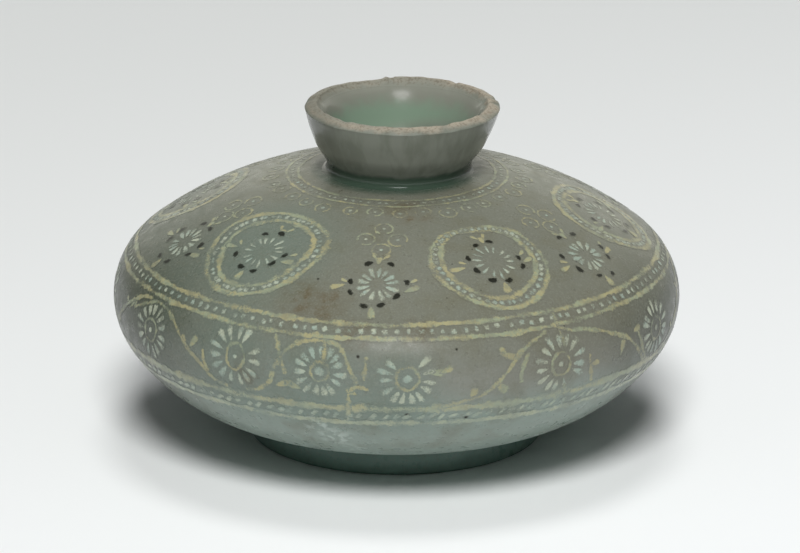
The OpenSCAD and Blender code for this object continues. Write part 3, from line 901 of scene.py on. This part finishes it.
# Runs of the vine on the front, as places the knife passed through
vine_front = [
    [(-66, 3.2), (-62, 4.6), (-58, 5.8), (-54, 5.4), (-50, 3.8), (-46, 1.2), (-42, -0.8),
     (-39, -2.7), (-35, -3.6)],
    [(-41.2, 1.6), (-41, 0), (-39.8, -2)],
    [(-31, -3.3), (-28, -2.9), (-25.5, -1.4), (-24.6, -0.3)],
    [(-25, 6.4), (-23.8, 4), (-22.8, 2), (-21.8, 0.2)],
    [(-24.6, 0.8), (-23, 3), (-21, 4.8), (-17.5, 5.9), (-13, 5.9), (-10.6, 4.6), (-9, 2), (-7.4, -0.4)],
    [(-5.8, 4.2), (-6, 2), (-6.2, 0.3)],
    [(-9.2, -1.6), (-7.4, -0.7), (-5.2, -1.2)],
    [(-14.4, 6.4), (-14.2, 4.4), (-14.3, 2.8)],
    [(-9.3, -1.8), (-9.4, -4.4), (-9.9, -7.6)],
    [(9, -4.3), (13, -3.4), (17, -2.6), (20, -0.8), (22.5, 1.2), (25, 3.4), (28, 4.8), (32, 6.2)],
    [(27, 3.4), (25.6, 1.6), (25, 0), (25.2, -1.2)],
    [(34.6, 9), (34.8, 6.4), (35.2, 3)],
    [(34.4, 6.3), (38, 5.4), (43, 4.6), (48, 3.2), (52, 1.8), (55, 0), (57.5, -2), (60, -4.2)],
    [(56.4, 1.8), (58, -1), (60.6, -3.8)],
    [(41.2, 1.2), (41.5, -1), (42.3, -3.8)],
    [(35, -2.8), (35.8, -4.4)],
]
# Leaves of the vine on the front: azimuth, s, turn, half width and half length
leaves_front = [
    (-46.6, 1.9, -40, 0.92, 1.26), (-44, 2.2, 35, 1.035, 1.4), (-66.4, 3.9, -20, 1.15, 1.4),
    (-22.4, -1.3, 70, 1.15, 1.54), (-20.3, -1.3, -70, 1.15, 1.54), (15.2, -2.4, 10, 1.15, 1.4),
    (20.9, -1.6, 130, 1.38, 1.4), (22.6, 3.2, 110, 1.035, 1.96), (21.6, 3.8, -30, 0.92, 1.12),
    (50.8, 0.5, 20, 1.15, 1.68), (56, 2.2, 80, 1.15, 1.26), (42.6, -0.6, 90, 0.92, 1.26),
    (7.8, 1.6, 90, 1.035, 1.68), (9.8, 1.9, 70, 0.92, 1.26), (-24.9, -0.3, 20, 0.92, 1.12),
    (-8.6, -1.6, -60, 0.92, 1.12),
]
frieze_petals = []
frieze_rings = []
frieze_eyes = []
for az, s, radius, ring_w, ring_h, eye, gaps in frieze:
    frieze_petals += petal_ring(az, s, radius * 0.44, radius * 1.08, frieze_petal_n, frieze_petal_w, gaps)
    path = round_path(az, s, ring_w, ring_h, frieze_ring_steps, 0.03)
    strength = hand.uniform(0.6, 1)
    frieze_rings.append(stroke(path, frieze_ring_w, strength, closed=True))
    frieze_eyes.append(pressed(dot_face, az, s, 0, 0, 0, eye, eye * 0.9, 1.2))
vine_runs = [stroke(run, vine_w) for run in vine_front]
vine_leaves = []
for az, s, turn, wide, long in leaves_front:
    vine_leaves.append(pressed(petal_face, az, s, 0, 0, turn, wide, long, bold))
# Round the back the vine passes over one flower and under the next
run_steps = 8
vine_swing = 5
# Four leaves to a run: step of the run and side of the vine
back_leaves = ((-2, 1), (-0.5, -1), (0.5, 1), (2, -1))


def vine_height(rise, step):
    """How far up from its middle line the vine lies at a step of a run."""
    return -rise * math.sin(math.radians(180 * step / run_steps))


for k in range(back_count + 1):
    middle = back_first + back_pitch * (k - 0.5)
    rise = vine_swing if k % 2 else -vine_swing
    run = [(middle + back_pitch * step / run_steps, back_s + vine_height(rise, step))
           for step in range(-run_steps // 2, run_steps // 2 + 1)]
    vine_runs.append(stroke(run, vine_w))
    for step, side in back_leaves:
        up = vine_height(rise, step) + side * 1.3
        az = middle + back_pitch * step / run_steps
        vine_leaves.append(pressed(petal_face, az, back_s, side * 0.8, up, side * rise * 9, 0.7, 1.2))
gather("frieze_petals", frieze_petals, "white_slip")
gather("frieze_rings", frieze_rings, "buff_slip")
gather("frieze_dots", frieze_eyes, "white_slip")
gather("frieze_vine", vine_runs, "buff_slip")
gather("frieze_leaves", vine_leaves, "buff_slip")
for face in (dot_face, bead_face, petal_face, leaf_face):
    bpy.data.objects.remove(face)

# Table: a plain sheet of pale paper, laid flat under the pot.
# It is painted lighter near the viewer and on the right, and a little greyer to the back, as painted
# falloff of the lamps' light.
sheet_size = 4
sheet_slant = 0.8
sheet_shade = (-220, 330)
bpy.ops.object.select_all(action="DESELECT")
bpy.ops.mesh.primitive_grid_add(x_subdivisions=4, y_subdivisions=40, size=sheet_size)
table = bpy.context.object
table.name = "pale_table"
sheet, sheet_place = new_material("pale_paper")
to_back = along(sheet_place, "Y") - along(sheet_place, "X") * sheet_slant
paper_tone_painted_falloff = mixed(ease(to_back, *sheet_shade), tone("f1f3f3"), tone("dcdedc"))
paper = sheet_place.add("ShaderNodeBsdfDiffuse", {}, {"Color": paper_tone_painted_falloff})
paper.add("ShaderNodeOutputMaterial", {}, {"Surface": paper})
table.data.materials.append(sheet)

# Light: a soft lamp in front above the camera, a weaker one overhead, and a pale room.
# The two lamps light the pot and the table. Only the third one, the sheen, shows in the glaze.
# Each lamp: its place in metres, its width and its power
lamps = {"front_lamp": ((0, -1.2, 1.6), 0.75, 34.5), "top_lamp": ((0.03, 0.3, 1.5), 0.5, 6.2),
         "front_sheen": ((0, -1.53, 1.29), 0.75, 9)}
lamp_aim = Vector((0, 0, 0.02))
for name, (spot, size, power) in lamps.items():
    bpy.ops.object.light_add(type="AREA", location=spot)
    lamp = bpy.context.object
    lamp.name = name
    lamp.rotation_euler = (lamp_aim - Vector(spot)).to_track_quat("-Z", "Y").to_euler()
    lamp.data.shape = "DISK"
    lamp.data.size = size
    lamp.data.energy = power
    lamp.visible_glossy = name == "front_sheen"
    lamp.visible_diffuse = name != "front_sheen"
# The room: a dim fill from above, and a pale backdrop behind the pot that only the glaze mirrors
fill_strength = 0.22
room = bpy.data.worlds.new("pale_room")
bpy.context.scene.world = room
room.use_nodes = True
room.node_tree.nodes.clear()
air = Wire(room.node_tree)
to_lens = air.add("ShaderNodeLightPath", {}, {}, "Is Camera Ray")
to_glaze = air.add("ShaderNodeLightPath", {}, {}, "Is Glossy Ray")
way = air.add("ShaderNodeTexCoord", {}, {}, "Generated")
behind = ease(along(way, "Y") + along(way, "X") * 0.35, 0.2, 0.9)
rise = along(way, "Z")
low = ease(rise, 0.85, 0.15)
overhead = mixed(ease(rise, 0.25, 0.85), tone("1c1d1e"), tone("eef1f4"))
fill = air.add("ShaderNodeBackground", {}, {"Color": overhead, "Strength": fill_strength})
mirrored = mixed(behind * low, tone("4c4c44"), tone("fefef2"))
backdrop = air.add("ShaderNodeBackground", {}, {"Color": mirrored})
white = air.add("ShaderNodeBackground", {}, {"Color": tone("f4f5f5")})
both = air.add("ShaderNodeMixShader", {}, {0: to_glaze, 1: fill, 2: backdrop})
both = air.add("ShaderNodeMixShader", {}, {0: to_lens, 1: both, 2: white})
both.add("ShaderNodeOutputWorld", {}, {"Surface": both})

# Camera: a long lens, looking down a little on the pot from the front.
# It stands as far away and as high as the ellipses of lip, bands and foot ask for.
lens_distance = 810
lens_angle = 18.2
lens_length = 228.8
film_width = 36
film_shift = (0.0042, 0.0024)
aim_z = 24.75
roll = 0.292
away, above = polar(lens_distance, lens_angle)
bpy.ops.object.camera_add(location=(0, -away * MM, (aim_z + above) * MM))
camera = bpy.context.object
camera.rotation_euler = (math.radians(90 - lens_angle), 0, 0)
camera.rotation_euler.rotate_axis("Z", math.radians(roll))
camera.data.lens = lens_length
camera.data.sensor_width = film_width
camera.data.shift_x, camera.data.shift_y = film_shift
bpy.context.scene.camera = camera
bpy.context.scene.view_settings.view_transform = "Standard"
